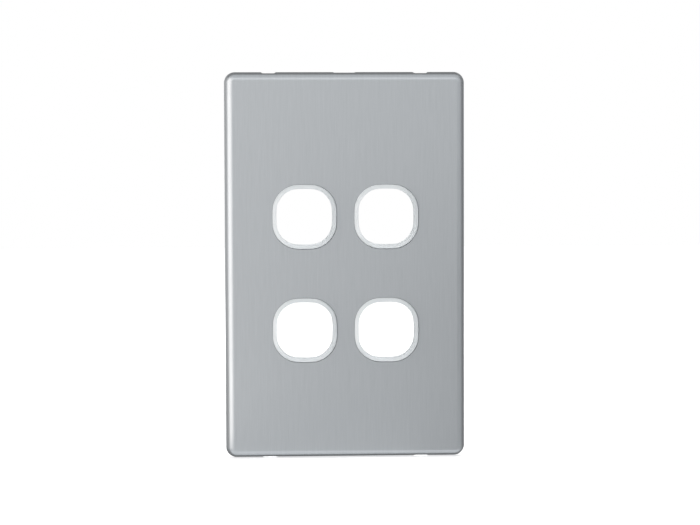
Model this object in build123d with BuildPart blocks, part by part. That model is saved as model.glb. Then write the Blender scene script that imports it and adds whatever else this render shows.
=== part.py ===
from build123d import *
from math import cos, radians, sqrt, tan
import os

# Switch cover plate with four openings: a pressed metal face bonded to a moulded carrier.
# Millimetres. The wall is the plane Y = 0, the face looks along -Y, and +Z is up on the wall.
# A height below is a distance in front of the wall.

# Outline of the metal face
plate_width = 72.8
plate_height = 117.0
plate_depth = 5.0
plate_corner_radius = 3.25
flank_draft = 12.5
front_edge_radius = 2.1
face_thickness = 0.8
face_lift = 0.4

# Openings, and the collars that line them
opening_pitch_across = 24.75
opening_pitch_up = 34.3
opening_drop = 2.35
collar_bore = 16.9
collar_side_bow = 0.65
collar_corner_radius = 6.6
collar_wall = 1.2
collar_clearance = 0.1
collar_tail = 1.0
lip_height = 0.9
lip_step = 0.3
lip_land = 0.1
lip_bulge = 0.03

# Moulded carrier, with ribs behind its web and guides inside its long walls
carrier_clearance = 0.1
carrier_wall = 1.3
web_thickness = 1.2
hollow_corner_radius = 2.0
rib_thickness = 1.0
rib_height = 0.6
guide_width = 1.2
guide_depth = 0.8
guide_spacing = 56.0
guide_lift = 0.8

# Notches for levering the cover off its frame, and a shallow relief in the top edge
notch_spacing = 46.0
notch_width = 4.6
notch_height = 1.8
notch_corner_radius = 0.5
notch_end_angle = 72.0
notch_clearance = 0.3
relief_width = 6.8
relief_height = 0.85

# Hooks that snap over the mounting frame
hook_width = 5.0
hook_thickness = 1.2
hook_gap = 1.3
hook_flare = 0.5
hook_barb = 0.6
hook_barb_land = 0.3
hook_ledge_lift = 1.5
hook_tip_lift = 0.4
hook_tip_relief = 0.3

# Heights of the main faces
face_front = plate_depth
face_back = face_front - face_thickness
web_front = face_back
web_back = web_front - web_thickness
web_middle = web_front - web_thickness / 2
tail_back = web_back - collar_tail
rib_back = web_back - rib_height
lip_back = face_front + lip_step
lip_front = face_front + lip_height

# Distances behind the outer surface of the flank
carrier_inset = face_thickness + carrier_clearance
hollow_inset = carrier_inset + carrier_wall

# Sketch planes: height is local y on the one seen from above, and local x on the one seen from a side
seen_from_above = Plane(origin=(0, 0, 0), x_dir=(1, 0, 0), z_dir=(0, 0, -1))
seen_from_side = Plane(origin=(0, 0, 0), x_dir=(0, -1, 0), z_dir=(-1, 0, 0))


def half_size(plate_size, inset, height):
    """Half the plate's width or height, at a surface inset behind the leaning flank and at a height."""
    lean = (height - face_lift) * tan(radians(flank_draft))
    return plate_size / 2 - inset / cos(radians(flank_draft)) - lean


def drafted_block(inset, corner_radius, back, front):
    """Block inside the plate's outline, with flanks that lean in towards the front."""
    with BuildPart() as block:
        with BuildSketch(Plane.XZ.offset(back)):
            RectangleRounded(
                2 * half_size(plate_width, inset, back),
                2 * half_size(plate_height, inset, back),
                corner_radius,
            )
        extrude(amount=front - back, taper=flank_draft)
    return block.part


def rounded_block(inset, back, front):
    """Drafted block with a rounded front edge, parallel to the plate's own outer surface."""
    corner_radius = plate_corner_radius - plate_width / 2 + half_size(plate_width, inset, back)
    front_corner_radius = corner_radius - (front - back) * tan(radians(flank_draft))
    edge_radius = front_edge_radius - (face_front - front)
    sharp_block = drafted_block(inset, corner_radius, back, front)
    with BuildPart() as block:
        add(sharp_block)
        front_face = block.faces().sort_by(Axis.Y)[0]
        fillet(front_face.edges(), min(edge_radius, 0.95 * front_corner_radius))
    return block.part


def bowed_square(grow):
    """Square with bowed sides and broad corners, everywhere a distance outside the collar's bore."""
    half_bore = collar_bore / 2
    bore_corner = half_bore - collar_side_bow
    side_radius = (bore_corner**2 + collar_side_bow**2) / (2 * collar_side_bow)
    centre_offset = side_radius - half_bore
    side = half_bore + grow
    corner = (sqrt(2 * (side_radius + grow) ** 2 - centre_offset**2) - centre_offset) / 2
    with BuildSketch() as outline:
        with BuildLine():
            ThreePointArc((corner, -corner), (side, 0), (corner, corner))
            ThreePointArc((corner, corner), (0, side), (-corner, corner))
            ThreePointArc((-corner, corner), (-side, 0), (-corner, -corner))
            ThreePointArc((-corner, -corner), (0, -side), (corner, -corner))
        make_face()
        fillet(outline.vertices(), collar_corner_radius + grow)
    return outline.sketch


def edge_notch(width, height):
    """Notch in an edge: sloping ends, rounded inner corners, and its mouth on the edge."""
    with BuildSketch() as notch:
        Trapezoid(width, height, notch_end_angle, align=(Align.CENTER, Align.MIN))
        fillet(notch.vertices().group_by(Axis.Y)[-1], notch_corner_radius)
    return notch.sketch


bore_outline = bowed_square(0)
pierced_outline = bowed_square(collar_wall + collar_clearance)
opening_places = [
    (across * opening_pitch_across / 2, up * opening_pitch_up / 2 - opening_drop)
    for across in (-1, 1)
    for up in (-1, 1)
]

# Metal face: a pressed tray of thin sheet, with pierced openings and notched edges
face_outside = rounded_block(0, face_lift, face_front)
face_inside = rounded_block(face_thickness, face_lift, face_back)
face_notch = edge_notch(notch_width, notch_height)
face_relief = edge_notch(relief_width, relief_height)

with BuildPart() as metal_face:
    add(face_outside)
    add(face_inside, mode=Mode.SUBTRACT)
    with BuildSketch(Plane.XZ.offset(face_front)):
        with Locations(*opening_places):
            add(pierced_outline)
    extrude(amount=-face_thickness, mode=Mode.SUBTRACT)
    with BuildSketch(seen_from_above):
        with Locations((-notch_spacing / 2, face_lift), (notch_spacing / 2, face_lift)):
            add(face_notch)
    extrude(amount=plate_height, both=True, mode=Mode.SUBTRACT)
    with BuildSketch(seen_from_above):
        with Locations((0, face_lift)):
            add(face_relief)
    extrude(amount=-plate_height, mode=Mode.SUBTRACT)
metal_face.part.label = "metal_face"

# One collar: its wall section, with a domed lip in front of the face, carried round the bore
with BuildPart() as collar:
    inner = collar_bore / 2
    outer = inner + collar_wall
    with BuildSketch(seen_from_above):
        with BuildLine():
            Polyline((inner + lip_land, lip_front), (inner, lip_front), (inner, tail_back))
            Polyline((inner, tail_back), (outer, tail_back), (outer, lip_back))
            SagittaArc((outer, lip_back), (inner + lip_land, lip_front), -lip_bulge)
        make_face()
    sweep(path=(Plane.XZ * bore_outline).wire())

# Carrier: a shallow moulding with a web behind the face, four collars, ribs, guides and hooks
carrier_outside = rounded_block(carrier_inset, 0, web_front)
carrier_hollow = drafted_block(hollow_inset, hollow_corner_radius, 0, web_back)
carrier_notch = edge_notch(
    notch_width + 2 * notch_clearance,
    face_lift + notch_height + notch_clearance,
)

with BuildPart() as carrier:
    add(carrier_outside)
    add(carrier_hollow, mode=Mode.SUBTRACT)
    with BuildSketch(seen_from_above):
        with Locations((-notch_spacing / 2, 0), (notch_spacing / 2, 0)):
            add(carrier_notch)
    extrude(amount=plate_height, both=True, mode=Mode.SUBTRACT)
    with BuildSketch(Plane.XZ.offset(web_front)):
        with Locations(*opening_places):
            add(bore_outline)
    extrude(amount=-web_thickness, mode=Mode.SUBTRACT)
    with Locations(*[(x, 0, z) for x, z in opening_places]):
        add(collar.part)

    # One upright rib, and level ribs between and beside the two rows of openings
    with BuildSketch(Plane.XZ.offset(rib_back)):
        Rectangle(rib_thickness, 2 * half_size(plate_height, hollow_inset, rib_back))
        with Locations((0, -opening_drop)):
            with GridLocations(opening_pitch_across, opening_pitch_up, 1, 3):
                Rectangle(2 * half_size(plate_width, hollow_inset, rib_back), rib_thickness)
    extrude(amount=web_middle - rib_back)

    # Guides that centre the frame between the long walls
    guide_inner = half_size(plate_width, hollow_inset, web_back) - guide_depth
    wall_middle = hollow_inset - carrier_wall / 2
    guide_profile = [
        (guide_inner, guide_lift),
        (half_size(plate_width, wall_middle, guide_lift), guide_lift),
        (half_size(plate_width, wall_middle, web_middle), web_middle),
        (guide_inner, web_middle),
    ]
    for guide_place in (-guide_spacing / 2, guide_spacing / 2):
        with BuildSketch(seen_from_above.offset(guide_place)):
            with BuildLine():
                Polyline(*guide_profile, close=True)
            make_face()
            mirror(about=Plane.YZ)
        extrude(amount=guide_width / 2, both=True)

    # Hooks behind the notches, with barbs that face each other
    hook_outer = half_size(plate_height, hollow_inset, web_back) - hook_gap
    hook_inner = hook_outer - hook_thickness
    hook_profile = [
        (web_middle, hook_outer + hook_flare),
        (web_back, hook_outer + hook_flare),
        (web_back - hook_flare, hook_outer),
        (hook_tip_lift, hook_outer),
        (hook_tip_lift, hook_inner + hook_tip_relief),
        (hook_ledge_lift - hook_barb_land, hook_inner - hook_barb),
        (hook_ledge_lift, hook_inner - hook_barb),
        (hook_ledge_lift, hook_inner),
        (web_back - hook_flare, hook_inner),
        (web_back, hook_inner - hook_flare),
        (web_middle, hook_inner - hook_flare),
    ]
    for hook_place in (-notch_spacing / 2, notch_spacing / 2):
        with BuildSketch(seen_from_side.offset(hook_place)):
            with BuildLine():
                Polyline(*hook_profile, close=True)
            make_face()
            mirror(about=Plane.XZ)
        extrude(amount=hook_width / 2, both=True)
carrier.part.label = "carrier"

os.makedirs("parts", exist_ok=True)
export_step(metal_face.part, "parts/metal_face.step")
export_step(carrier.part, "parts/carrier.step")
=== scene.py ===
import math

import bpy
import numpy as np
from mathutils import Matrix, Vector


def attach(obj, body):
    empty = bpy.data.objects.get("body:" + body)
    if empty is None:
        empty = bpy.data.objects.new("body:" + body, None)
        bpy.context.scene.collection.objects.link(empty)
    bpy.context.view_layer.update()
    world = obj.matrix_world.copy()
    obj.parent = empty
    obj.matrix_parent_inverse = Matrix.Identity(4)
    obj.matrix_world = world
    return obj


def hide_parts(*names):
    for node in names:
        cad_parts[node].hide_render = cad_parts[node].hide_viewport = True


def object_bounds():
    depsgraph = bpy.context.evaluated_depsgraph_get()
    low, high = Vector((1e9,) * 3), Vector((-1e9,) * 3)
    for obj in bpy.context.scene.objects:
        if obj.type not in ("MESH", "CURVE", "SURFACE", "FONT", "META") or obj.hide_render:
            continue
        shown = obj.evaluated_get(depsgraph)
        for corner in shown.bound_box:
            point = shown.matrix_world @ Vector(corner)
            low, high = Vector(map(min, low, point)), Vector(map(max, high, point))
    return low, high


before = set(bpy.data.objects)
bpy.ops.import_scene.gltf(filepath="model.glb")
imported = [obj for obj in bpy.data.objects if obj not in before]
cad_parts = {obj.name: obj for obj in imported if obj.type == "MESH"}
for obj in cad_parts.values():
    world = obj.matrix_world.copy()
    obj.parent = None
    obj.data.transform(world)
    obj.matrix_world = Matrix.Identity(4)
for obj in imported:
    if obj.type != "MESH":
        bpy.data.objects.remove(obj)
cad_low, cad_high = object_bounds()

# Carrier
# One white ABS moulding: a web behind the face, four collars whose lips frame the openings, ribs,
# guides and snap hooks. The tool is polished at the lips, spark eroded behind, and leaves pin marks.
mm = 0.001
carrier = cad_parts["carrier"]
lip_white = (0.90, 0.94, 0.96, 1)
flow_white = (0.86, 0.90, 0.92, 1)
flow_per_metre = 140
polished_at = -4.4 * mm
eroded_at = -3.8 * mm
polished_roughness = 0.3
eroded_roughness = 0.52
grain_per_metre = 6500
grain_depth = 0.02 * mm
pin_radius = 1.5 * mm
pin_edge = 0.05 * mm
pin_depth = 0.1 * mm
pin_places = ((27.5 * mm, 46 * mm), (27.5 * mm, 15.5 * mm), (8 * mm, 46 * mm))

moulding = bpy.data.materials.new("white_abs_moulding")
moulding.use_nodes = True
nodes, link = moulding.node_tree.nodes, moulding.node_tree.links.new
abs_shader = nodes["Principled BSDF"]
abs_shader.inputs["IOR"].default_value = 1.54
place = nodes.new("ShaderNodeTexCoord")
place_parts = nodes.new("ShaderNodeSeparateXYZ")
link(place.outputs["Object"], place_parts.inputs["Vector"])

# Behind the lips the surface goes from polished to spark eroded
eroded = nodes.new("ShaderNodeMapRange")
eroded.inputs["From Min"].default_value = polished_at
eroded.inputs["From Max"].default_value = eroded_at
link(place_parts.outputs["Y"], eroded.inputs["Value"])
gloss = nodes.new("ShaderNodeMapRange")
gloss.inputs["To Min"].default_value = polished_roughness
gloss.inputs["To Max"].default_value = eroded_roughness
link(eroded.outputs["Result"], gloss.inputs["Value"])
link(gloss.outputs["Result"], abs_shader.inputs["Roughness"])

# Faint clouds where the melt flowed
flow = nodes.new("ShaderNodeTexNoise")
flow.inputs["Scale"].default_value = flow_per_metre
flow.inputs["Detail"].default_value = 3
link(place.outputs["Object"], flow.inputs["Vector"])
flow_colour = nodes.new("ShaderNodeMix")
flow_colour.data_type = "RGBA"
flow_colour.inputs["A"].default_value = lip_white
flow_colour.inputs["B"].default_value = flow_white
link(flow.outputs["Fac"], flow_colour.inputs["Factor"])
link(flow_colour.outputs["Result"], abs_shader.inputs["Base Color"])

# The grain of the eroded tool
grain = nodes.new("ShaderNodeTexNoise")
grain.inputs["Scale"].default_value = grain_per_metre
grain.inputs["Detail"].default_value = 2
link(place.outputs["Object"], grain.inputs["Vector"])
grain_bump = nodes.new("ShaderNodeBump")
grain_bump.inputs["Distance"].default_value = grain_depth
link(grain.outputs["Fac"], grain_bump.inputs["Height"])
link(eroded.outputs["Result"], grain_bump.inputs["Strength"])

# Round witness marks of the ejector pins, the same in all four quarters
quarter = nodes.new("ShaderNodeVectorMath")
quarter.operation = "ABSOLUTE"
link(place.outputs["Object"], quarter.inputs[0])
quarter_flat = nodes.new("ShaderNodeVectorMath")
quarter_flat.operation = "MULTIPLY"
quarter_flat.inputs[1].default_value = (1, 0, 1)
link(quarter.outputs["Vector"], quarter_flat.inputs[0])
nearest_pin = None
for pin_across, pin_up in pin_places:
    from_pin = nodes.new("ShaderNodeVectorMath")
    from_pin.operation = "DISTANCE"
    from_pin.inputs[1].default_value = (pin_across, 0, pin_up)
    link(quarter_flat.outputs["Vector"], from_pin.inputs[0])
    if nearest_pin:
        nearer = nodes.new("ShaderNodeMath")
        nearer.operation = "MINIMUM"
        link(nearest_pin, nearer.inputs[0])
        link(from_pin.outputs["Value"], nearer.inputs[1])
        nearest_pin = nearer.outputs["Value"]
    else:
        nearest_pin = from_pin.outputs["Value"]
pin_step = nodes.new("ShaderNodeMapRange")
pin_step.inputs["From Min"].default_value = pin_radius - pin_edge
pin_step.inputs["From Max"].default_value = pin_radius + pin_edge
link(nearest_pin, pin_step.inputs["Value"])
pin_bump = nodes.new("ShaderNodeBump")
pin_bump.inputs["Distance"].default_value = pin_depth
link(pin_step.outputs["Result"], pin_bump.inputs["Height"])
link(grain_bump.outputs["Normal"], pin_bump.inputs["Normal"])
link(pin_bump.outputs["Normal"], abs_shader.inputs["Normal"])
carrier.data.materials.clear()
carrier.data.materials.append(moulding)

# Metal face
# A tray of thin aluminium sheet, brushed along its height, pierced and notched as a flat blank and
# then pressed, so that its flanks lean in to a rolled front edge. It is bonded to the carrier.
plate_width = 72.8 * mm
plate_height = 117 * mm
plate_depth = 5 * mm
plate_corner = 3.25 * mm
flank_lean = math.radians(12.5)
edge_roll = 2.1 * mm
sheet_thickness = 0.8 * mm
sheet_lift = 0.4 * mm
sheet_back = plate_depth - sheet_thickness
inner_roll = edge_roll - sheet_thickness
middle_roll = edge_roll - sheet_thickness / 2
roll_height = plate_depth - edge_roll
roll_inset = (roll_height - sheet_lift) * math.tan(flank_lean) + edge_roll / math.cos(flank_lean)

notch_place = 23 * mm
notch_half = 2.3 * mm
notch_rise = 1.8 * mm
relief_half = 3.4 * mm
relief_rise = 0.85 * mm
notch_corner = 0.5 * mm
notch_slope = math.radians(72)
notch_margin = 0.2 * mm

opening_across = 12.375 * mm
opening_up = 17.15 * mm
opening_drop = 2.35 * mm
opening_half = 9.75 * mm
side_radius = 48.425 * mm
opening_corner = 7.9 * mm
side_centre = side_radius - opening_half
circle_gap = side_radius - opening_corner
corner_centre = (math.sqrt(2 * circle_gap**2 - side_centre**2) - side_centre) / 2
side_end_across = (corner_centre + side_centre) * side_radius / circle_gap - side_centre
side_end_up = corner_centre * side_radius / circle_gap
broken_edge = 0.05 * mm
fit_slip = 0.07 * mm

# Points of the mesh along each stretch, and the distance at which two of them are one
level_points = 42
notch_points = 51
relief_points = 37
upright_points = 112
corner_points = 18
seam_points = 90
flank_rows = 3
outer_roll_rows = 15
inner_roll_rows = 9
break_rows = 5
kept_decimals = 8
same_place = 1e-7


def notch_edge(across, half_mouth, rise):
    """Height of a notch's edge above the sheet's back edge, at distances across from its middle.

    At the ends the edge climbs a slope, and in the middle it is level. Between them it follows a circle
    that touches both: its height is the centre's plus the root of radius squared less offset squared.
    """
    across = np.abs(across)
    arc_height = rise - notch_corner
    arc_across = half_mouth - arc_height / math.tan(notch_slope) - notch_corner / math.sin(notch_slope)
    arc_end = arc_across + notch_corner * math.sin(notch_slope)
    offset = np.clip(across - arc_across, 0, notch_corner)
    level_and_arc = arc_height + np.sqrt(notch_corner**2 - offset**2)
    slope = np.maximum(half_mouth - across, 0) * math.tan(notch_slope)
    return np.where(across < arc_end, level_and_arc, slope)


# The outline starts at the bottom middle and runs by the right side to the top middle, and back by the
# left. A core rectangle carries it, and an outward direction that turns only at the corners.
core_across = plate_width / 2 - plate_corner
core_up = plate_height / 2 - plate_corner
notch_reach = notch_half + notch_margin
notch_run = np.append(np.linspace(-notch_reach, notch_reach, notch_points), (-notch_half, notch_half))
relief_run = np.append(np.linspace(0, relief_half + notch_margin, relief_points), relief_half)
level_run = np.concatenate([np.linspace(0, core_across, level_points), notch_place + notch_run, relief_run])
level_run = np.unique(level_run.round(kept_decimals))
upright_run = np.append(np.linspace(-core_up, core_up, upright_points), -opening_drop)
upright_run = np.unique(upright_run.round(kept_decimals))
turn = np.linspace(-math.pi / 2, 0, corner_points)[1:-1]
half_core = np.concatenate([
    np.stack([level_run, np.full(level_run.size, -core_up)], 1),
    np.tile([core_across, -core_up], (turn.size, 1)),
    np.stack([np.full(upright_run.size, core_across), upright_run], 1),
    np.tile([core_across, core_up], (turn.size, 1)),
    np.stack([level_run[::-1], np.full(level_run.size, core_up)], 1),
])
half_turn = np.concatenate([
    np.full(level_run.size, -math.pi / 2),
    turn,
    np.zeros(upright_run.size),
    turn + math.pi / 2,
    np.full(level_run.size, math.pi / 2),
])
half_outward = np.stack([np.cos(half_turn), np.sin(half_turn)], 1)
core = np.concatenate([half_core, half_core[-2::-1] * (-1, 1)])
outward = np.concatenate([half_outward, half_outward[-2::-1] * (-1, 1)])
back_edge = sheet_lift + notch_edge(np.abs(core[:, 0]) - notch_place, notch_half, notch_rise)
back_edge += np.where(core[:, 1] > 0, notch_edge(core[:, 0], relief_half, relief_rise), 0)
flat_edge = core + (plate_corner - roll_inset) * outward


def pressed_flank(roll, roll_rows):
    """One side of the flank and its rolled edge: points, outward normals and places on the flat blank.

    Rows of inset and height are carried round the outline, each column in its outward direction. The
    flank is a line from the back edge, parallel to the lean. The roll turns about one centre, with
    inset the centre less radius times sine and height the centre plus radius times cosine. On the
    blank a row lies beyond the flat by the roll's arc along the sheet's middle, plus the flank's length.
    """
    tilt = np.tile(np.linspace(math.pi / 2 - flank_lean, 0, roll_rows)[:, None], back_edge.size)
    roll_start = roll_height + roll * math.sin(flank_lean)
    climb = np.linspace(0, 1, flank_rows, endpoint=False)[:, None]
    flank_height = back_edge + climb * (roll_start - back_edge)
    flank_lean_in = (flank_height - roll_height) * math.tan(flank_lean)
    flank_inset = roll_inset + flank_lean_in - roll / math.cos(flank_lean)
    height = np.vstack([flank_height, roll_height + roll * np.cos(tilt)])
    inset = np.vstack([flank_inset, roll_inset - roll * np.sin(tilt)])
    tilt = np.vstack([np.repeat(tilt[:1], flank_rows, axis=0), tilt])
    reach = plate_corner - inset
    points = np.stack([core[:, 0] + reach * outward[:, 0], -height, core[:, 1] + reach * outward[:, 1]], 2)
    normals = np.stack([np.sin(tilt) * outward[:, 0], -np.cos(tilt), np.sin(tilt) * outward[:, 1]], 2)
    unrolled = middle_roll * tilt + np.maximum(roll_start - height, 0) / math.cos(flank_lean)
    blank = flat_edge + unrolled[:, :, None] * outward
    return points, normals, blank


def pierced_edge(rays):
    """Where rays from an opening's middle meet its edge, with the edge's normal there, into the metal.

    Each side is an arc about a far centre and each corner an arc about a near one on the diagonal. A
    ray reaches a circle at its run to the point nearest the centre, plus half the chord beyond.
    """
    folded = np.abs(rays)
    upright = folded[:, 1] > folded[:, 0]
    folded = np.where(upright[:, None], folded[:, ::-1], folded)
    on_side = folded[:, 1] * side_end_across < folded[:, 0] * side_end_up
    centre = np.where(on_side[:, None], (-side_centre, 0), (corner_centre, corner_centre))
    radius = np.where(on_side, side_radius, opening_corner)
    run = (folded * centre).sum(1)
    reach = run + np.sqrt(radius**2 - (centre**2).sum(1) + run**2)
    normal = (folded * reach[:, None] - centre) / radius[:, None]
    normal = np.where(upright[:, None], normal[:, ::-1], normal) * np.sign(rays)
    return rays * reach[:, None], normal


def flat_panel(inner, outer, height, side):
    """A flat panel between two rings of points at one height, as two rows: its normal is front or back."""
    blank = np.stack([inner, outer])
    points = np.stack([blank[:, :, 0], np.full(blank.shape[:2], -height), blank[:, :, 1]], 2)
    return points, np.broadcast_to((0.0, side, 0.0), points.shape), blank


outer_flank = pressed_flank(edge_roll, outer_roll_rows)
inner_flank = pressed_flank(inner_roll, inner_roll_rows)
cut_points = np.stack([outer_flank[0][0], inner_flank[0][0]])
cut_blank = np.stack([outer_flank[2][0], outer_flank[2][0] + sheet_thickness * outward])
sheet_grids = [
    outer_flank,
    (inner_flank[0], -inner_flank[1], inner_flank[2]),
    (cut_points, None, cut_blank),
]

# Each opening has a quarter of the flat, from its own edge out to the rolled edge and the middle lines.
# The collars sit a hair up and to the left in the openings, as their clearance lets them.
on_level_line = np.isclose(core[:, 1], -opening_drop, atol=same_place)
quarter_ends = [
    0,
    np.flatnonzero(on_level_line & (core[:, 0] > 0))[0],
    half_core.shape[0] - 1,
    np.flatnonzero(on_level_line & (core[:, 0] < 0))[0],
    core.shape[0] - 1,
]
middle = np.array([0, -opening_drop])
blank_gap = 0.1 * mm
break_turn = np.linspace(0, math.pi / 2, break_rows)[:, None, None]
for quarter_number, (across, up) in enumerate([(1, -1), (1, 1), (-1, 1), (-1, -1)]):
    opening = middle + (across * opening_across + fit_slip, up * opening_up - fit_slip)
    rim = flat_edge[quarter_ends[quarter_number]:quarter_ends[quarter_number + 1] + 1]
    seam_in = np.linspace(rim[-1], middle, seam_points)[1:]
    seam_out = np.linspace(middle, rim[0], seam_points)[1:]
    ring = np.concatenate([rim, seam_in, seam_out])
    rays = (ring - opening) / np.linalg.norm(ring - opening, axis=1)[:, None]
    edge, into_metal = pierced_edge(rays)
    edge = edge + opening
    broken = edge + broken_edge * into_metal
    sheet_grids.append(flat_panel(broken, ring, plate_depth, -1.0))
    sheet_grids.append(flat_panel(edge, ring, sheet_back, 1.0))

    # The opening's wall: its front edge is broken by a small radius, then it goes straight back
    wall = edge + broken_edge * (1 - np.sin(break_turn)) * into_metal
    wall = np.concatenate([wall, edge[None]])
    break_height = plate_depth - broken_edge * (1 - np.cos(break_turn[:, :, 0]))
    wall_height = np.tile(np.vstack([break_height, [[sheet_back]]]), edge.shape[0])
    wall_points = np.stack([wall[:, :, 0], -wall_height, wall[:, :, 1]], 2)
    facing = np.concatenate([break_turn, break_turn[-1:]])
    wall_normals = np.concatenate([
        -np.sin(facing) * into_metal[:, :1],
        -np.cos(facing) * np.ones((edge.shape[0], 1)),
        -np.sin(facing) * into_metal[:, 1:],
    ], 2)
    wall_blank = broken - (plate_depth - wall_height + blank_gap)[:, :, None] * into_metal
    sheet_grids.append((wall_points, wall_normals, wall_blank))


def sheet_mesh(name, grids):
    """One closed mesh of several grids, whose cells are its faces, with the grids' normals and blank map.

    A cell's corners are its own point, the next in the row and the two in the next row. The grid is
    turned over if its cells' cross products point against its normals. Points that fall together
    become one vertex. A grid with no normals takes those of its cells, and faces the back.
    """
    all_points, all_faces, all_normals, all_blank = [], [], [], []
    start = 0
    for points, normals, blank in grids:
        rows, columns = points.shape[:2]
        number = np.arange(rows * columns).reshape(rows, columns)
        faces = np.stack([number[:-1, :-1], number[:-1, 1:], number[1:, 1:], number[1:, :-1]], 2)
        faces = faces.reshape(-1, 4)
        flat = points.reshape(-1, 3)
        cross = np.cross(flat[faces[:, 2]] - flat[faces[:, 0]], flat[faces[:, 3]] - flat[faces[:, 1]])
        if normals is None:
            backward = cross[:, 1].sum() < 0
        else:
            backward = (cross * normals.reshape(-1, 3)[faces].mean(1)).sum() < 0
        if backward:
            faces, cross = faces[:, ::-1], -cross
        if normals is None:
            cell_normal = cross / np.linalg.norm(cross, axis=1)[:, None]
            all_normals.append(np.repeat(cell_normal, 4, axis=0))
        else:
            all_normals.append(normals.reshape(-1, 3)[faces.ravel()])
        all_blank.append(blank.reshape(-1, 2)[faces.ravel()])
        all_points.append(flat)
        all_faces.append(faces + start)
        start += flat.shape[0]
    points = np.concatenate(all_points)
    cells = (points / same_place).round().astype(np.int64)
    _, first, shared = np.unique(cells, axis=0, return_index=True, return_inverse=True)
    faces = shared.reshape(-1)[np.concatenate(all_faces)]
    mesh = bpy.data.meshes.new(name)
    mesh.from_pydata(points[first].tolist(), [], faces.tolist())
    mesh.uv_layers.new(name="blank").uv.foreach_set("vector", np.concatenate(all_blank).ravel())
    mesh.shade_smooth()
    mesh.normals_split_custom_set(np.concatenate(all_normals).tolist())
    return mesh


face = bpy.data.objects.new("brushed_face_sheet", sheet_mesh("brushed_face_sheet", sheet_grids))
bpy.context.scene.collection.objects.link(face)

# Brushed aluminium: the strokes per metre are given across and along the grain, fine ones and broad ones
fine_strokes = (3600, 130)
broad_strokes = (1500, 45)
broad_share = 0.35
stroke_dark = (0.391, 0.414, 0.435, 1)
stroke_light = (0.421, 0.445, 0.466, 1)
valley_roughness = 0.45
crest_roughness = 0.4
stroke_depth = 0.01 * mm
brushed = bpy.data.materials.new("brushed_aluminium")
brushed.use_nodes = True
nodes, link = brushed.node_tree.nodes, brushed.node_tree.links.new
metal_shader = nodes["Principled BSDF"]
metal_shader.inputs["Metallic"].default_value = 1
metal_shader.inputs["Anisotropic"].default_value = 0.5
blank_place = nodes.new("ShaderNodeUVMap")
blank_place.uv_map = "blank"
across_grain = nodes.new("ShaderNodeTangent")
across_grain.direction_type = "UV_MAP"
across_grain.uv_map = "blank"
link(across_grain.outputs["Tangent"], metal_shader.inputs["Tangent"])

# The strokes are noise on the flat blank, stretched along the grain
stroke_height = nodes.new("ShaderNodeMix")
stroke_height.inputs["Factor"].default_value = broad_share
for layer, (strokes_across, strokes_along) in (("A", fine_strokes), ("B", broad_strokes)):
    stretch = nodes.new("ShaderNodeMapping")
    stretch.inputs["Scale"].default_value = (strokes_across, strokes_along, 1)
    link(blank_place.outputs["UV"], stretch.inputs["Vector"])
    strokes = nodes.new("ShaderNodeTexNoise")
    strokes.noise_dimensions = "2D"
    strokes.inputs["Scale"].default_value = 1
    strokes.inputs["Detail"].default_value = 2
    link(stretch.outputs["Vector"], strokes.inputs["Vector"])
    link(strokes.outputs["Fac"], stroke_height.inputs[layer])
stroke_tint = nodes.new("ShaderNodeValToRGB")
stroke_tint.color_ramp.elements[0].position = 0.25
stroke_tint.color_ramp.elements[0].color = stroke_dark
stroke_tint.color_ramp.elements[1].position = 0.75
stroke_tint.color_ramp.elements[1].color = stroke_light
link(stroke_height.outputs["Result"], stroke_tint.inputs["Fac"])
link(stroke_tint.outputs["Color"], metal_shader.inputs["Base Color"])
stroke_gloss = nodes.new("ShaderNodeMapRange")
stroke_gloss.inputs["To Min"].default_value = valley_roughness
stroke_gloss.inputs["To Max"].default_value = crest_roughness
link(stroke_height.outputs["Result"], stroke_gloss.inputs["Value"])
link(stroke_gloss.outputs["Result"], metal_shader.inputs["Roughness"])
stroke_bump = nodes.new("ShaderNodeBump")
stroke_bump.inputs["Strength"].default_value = 0.3
stroke_bump.inputs["Distance"].default_value = stroke_depth
link(stroke_height.outputs["Result"], stroke_bump.inputs["Height"])
link(stroke_bump.outputs["Normal"], metal_shader.inputs["Normal"])
face.data.materials.append(brushed)
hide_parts("metal_face")
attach(face, "root")

# Floor
# A pale matt table that the plate stands on. It glows: the camera and reflections see its glow and lamp
# light reach white, a little less near the plate, so that the plate's faint shadow stays. Other rays see a
# fainter glow, which lights the plate from below.
floor_half = 1.5
floor_level = cad_low[2]
table_white = (0.9, 0.9, 0.9, 1)
plain_white = (1, 1, 1, 1)
lighting_glow_level = 0.36
near_reach = 0.08
near_level = 0.62
far_reach = 0.5
far_level = 0.85
floor_corners = [
    (-floor_half, -floor_half, floor_level),
    (floor_half, -floor_half, floor_level),
    (floor_half, floor_half, floor_level),
    (-floor_half, floor_half, floor_level),
]
floor_mesh = bpy.data.meshes.new("floor")
floor_mesh.from_pydata(floor_corners, [], [(0, 1, 2, 3)])
floor = bpy.data.objects.new("floor", floor_mesh)
bpy.context.scene.collection.objects.link(floor)


def seen_rays(nodes, link):
    """Shader output that is 1 for rays from the camera, mirrored rays and refracted rays, and else 0.

    It is the largest of the outputs for the three kinds of ray.
    """
    ray = nodes.new("ShaderNodeLightPath")
    seen = ray.outputs["Is Camera Ray"]
    for kind in ("Is Glossy Ray", "Is Transmission Ray"):
        either = nodes.new("ShaderNodeMath")
        either.operation = "MAXIMUM"
        link(seen, either.inputs[0])
        link(ray.outputs[kind], either.inputs[1])
        seen = either.outputs["Value"]
    return seen


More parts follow.
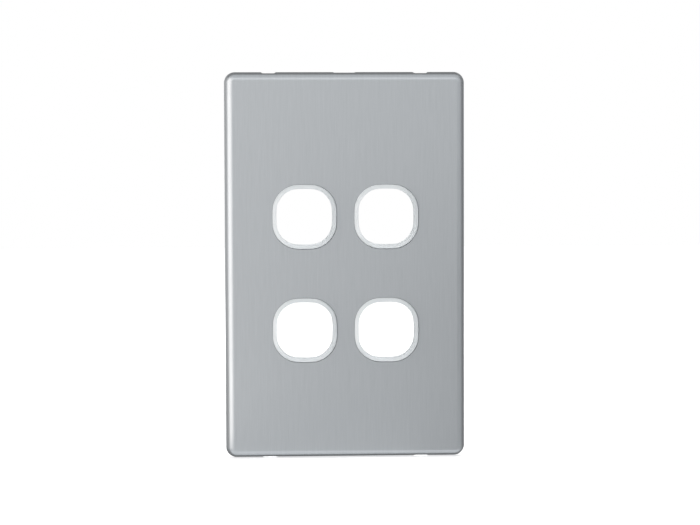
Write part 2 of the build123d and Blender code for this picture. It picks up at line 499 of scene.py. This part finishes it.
pale = bpy.data.materials.new("pale_table")
pale.use_nodes = True
nodes, link = pale.node_tree.nodes, pale.node_tree.links.new
pale_shader = nodes["Principled BSDF"]
pale_shader.inputs["Base Color"].default_value = table_white
pale_shader.inputs["Roughness"].default_value = 0.8
pale_shader.inputs["Emission Color"].default_value = plain_white
table_place = nodes.new("ShaderNodeTexCoord")
from_plate = nodes.new("ShaderNodeVectorMath")
from_plate.operation = "LENGTH"
link(table_place.outputs["Object"], from_plate.inputs[0])
seen_level = nodes.new("ShaderNodeMapRange")
seen_level.inputs["From Min"].default_value = near_reach
seen_level.inputs["From Max"].default_value = far_reach
seen_level.inputs["To Min"].default_value = near_level
seen_level.inputs["To Max"].default_value = far_level
link(from_plate.outputs["Value"], seen_level.inputs["Value"])
# The table's glow: the seen level for camera, mirrored and refracted rays, and a fainter glow for other
# rays, which lights the plate.
table_glow = nodes.new("ShaderNodeMapRange")
table_glow.inputs["To Min"].default_value = lighting_glow_level
link(seen_level.outputs["Result"], table_glow.inputs["To Max"])
link(seen_rays(nodes, link), table_glow.inputs["Value"])
link(table_glow.outputs["Result"], pale_shader.inputs["Emission Strength"])
floor_mesh.materials.append(pale)

# Studio
# White walls, and soft boxes above, behind and at the left that light the white rims, the back and the
# table. The metal mirrors glowing cards instead, which only reflections see: bright ones paint highlights
# on its edges, grey ones paint shade in its flanks and on its right, and mid ones paint the table's
# reflection.
wall_bounce = 0.15
studio = bpy.data.worlds.new("white_studio")
studio.use_nodes = True
bpy.context.scene.world = studio
nodes, link = studio.node_tree.nodes, studio.node_tree.links.new
walls = nodes["Background"]
walls.inputs["Color"].default_value = plain_white
wall_level = nodes.new("ShaderNodeMapRange")
wall_level.inputs["To Min"].default_value = wall_bounce
wall_level.inputs["To Max"].default_value = 1
link(seen_rays(nodes, link), wall_level.inputs["Value"])
link(wall_level.outputs["Result"], walls.inputs["Strength"])

for lamp_name, lamp_place, lamp_size, lamp_watts in (
    ("top_soft_box", (0, -0.15, 0.56), (0.5, 0.5), 1.95),
    ("side_soft_box", (-0.5, -0.24, 0.2), (0.5, 0.56), 0.2),
    ("rear_soft_box", (0.05, 0.42, 0.5), (0.5, 0.5), 2.2),
):
    lamp = bpy.data.lights.new(lamp_name, "AREA")
    lamp.shape = "RECTANGLE"
    lamp.size, lamp.size_y = lamp_size
    lamp.energy = lamp_watts
    stand = bpy.data.objects.new(lamp_name, lamp)
    stand.location = lamp_place
    stand.rotation_euler = (-stand.location).to_track_quat("-Z", "Y").to_euler()
    stand.visible_glossy = False
    bpy.context.scene.collection.objects.link(stand)

# Each card is a glowing strip through pairs of corners, seen only in reflections. Those on the table lie in
# layers, a hair apart, and the ones in front of the plate end at its foot.
glow_card_gap = 0.04 * mm
layer_1 = floor_level + glow_card_gap
layer_2 = layer_1 + glow_card_gap
layer_3 = layer_2 + glow_card_gap
foot_line = -5.2 * mm
highlight_warm_white = (1, 0.95, 0.91, 1)
# Glow levels above 1 paint highlights on the metal's edges, levels well below 1 paint shade in its flanks
# and on its right, and the table cards paint the table's reflection, dimmer than white.
for card_name, card_glow_level, card_glow_colour, card_corners in (
    ("table_reflection_card", 0.74, plain_white, [(-floor_half, -floor_half, layer_1),
                                       (floor_half, -floor_half, layer_1),
                                       (-floor_half, foot_line, layer_1),
                                       (floor_half, foot_line, layer_1)]),
    ("near_reflection_card", 0.88, plain_white, [(-0.25, -0.2, layer_2), (0.06, -0.2, layer_2),
                                      (-0.25, foot_line, layer_2), (0.02, foot_line, layer_2)]),
    ("foot_highlight_card", 1.25, plain_white, [(-0.06, -0.0125, layer_3), (0.036, -0.0072, layer_3),
                                      (-0.06, foot_line, layer_3), (0.036, foot_line, layer_3)]),
    ("left_highlight_card", 2.75, highlight_warm_white, [(-0.055, -0.05, layer_3), (-0.055, -0.005, layer_3),
                                     (-0.35, -0.56, layer_3), (-0.35, 0.05, layer_3),
                                     (-0.35, -0.56, 0.4), (-0.35, 0.05, 0.4)]),
    ("back_shade_card", 0.3, plain_white, [(-0.4, -0.004, layer_3), (0.4, -0.004, layer_3),
                                     (-0.4, 0.25, layer_3), (0.4, 0.25, layer_3),
                                     (-0.4, 0.25, 0.45), (0.4, 0.25, 0.45)]),
    ("right_shade_card", 0.3, plain_white, [(0.075, -0.004, layer_3), (0.075, 0.06, layer_3),
                                      (0.075, -0.004, 0.1), (0.075, 0.06, 0.1)]),
    ("front_shade_card", 0.2, plain_white, [(0.06, -0.15, layer_3), (0.13, -0.15, layer_3),
                                      (0.1, -0.15, 0.03), (0.13, -0.15, 0.03)]),
    ("top_highlight_card", 1.7, plain_white, [(-0.3, -0.85, 0.45), (0.3, -0.85, 0.45),
                                    (-0.3, -0.32, 0.45), (0.3, -0.32, 0.45)]),
):
    card_mesh = bpy.data.meshes.new(card_name)
    card_faces = [(n, n + 1, n + 3, n + 2) for n in range(0, len(card_corners) - 2, 2)]
    card_mesh.from_pydata(card_corners, [], card_faces)
    glow_card_paint = bpy.data.materials.new(card_name)
    glow_card_paint.use_nodes = True
    card_shader = glow_card_paint.node_tree.nodes["Principled BSDF"]
    card_shader.inputs["Base Color"].default_value = (0, 0, 0, 1)
    card_shader.inputs["Specular IOR Level"].default_value = 0
    card_shader.inputs["Emission Color"].default_value = card_glow_colour
    card_shader.inputs["Emission Strength"].default_value = card_glow_level
    card_mesh.materials.append(glow_card_paint)
    card = bpy.data.objects.new(card_name, card_mesh)
    # Hidden from the camera, from diffuse light and from shadows, each card only paints a reflection: a
    # highlight when bright, shade when grey.
    card.visible_camera = False
    card.visible_diffuse = False
    card.visible_shadow = False
    bpy.context.scene.collection.objects.link(card)

# Camera
# A long lens 0.65 m in front of the plate, a little left of its middle and above, as in the photograph.
# Its aim and its slight roll put the plate where the photograph has it.
lens_camera = bpy.data.cameras.new("camera")
lens_camera.sensor_width = 36
lens_camera.lens = 110
lens_camera.clip_start = 0.01
camera = bpy.data.objects.new("camera", lens_camera)
camera.location = (-0.03097, -0.65, 0.03289)
camera_aim = Vector((0.0016, 0, 0.00069)) - camera.location
camera_roll = Matrix.Rotation(-0.0034, 3, "Z")
camera.rotation_euler = (camera_aim.to_track_quat("-Z", "Y").to_matrix() @ camera_roll).to_euler()
bpy.context.scene.collection.objects.link(camera)
bpy.context.scene.camera = camera
bpy.context.scene.view_settings.view_transform = "Standard"
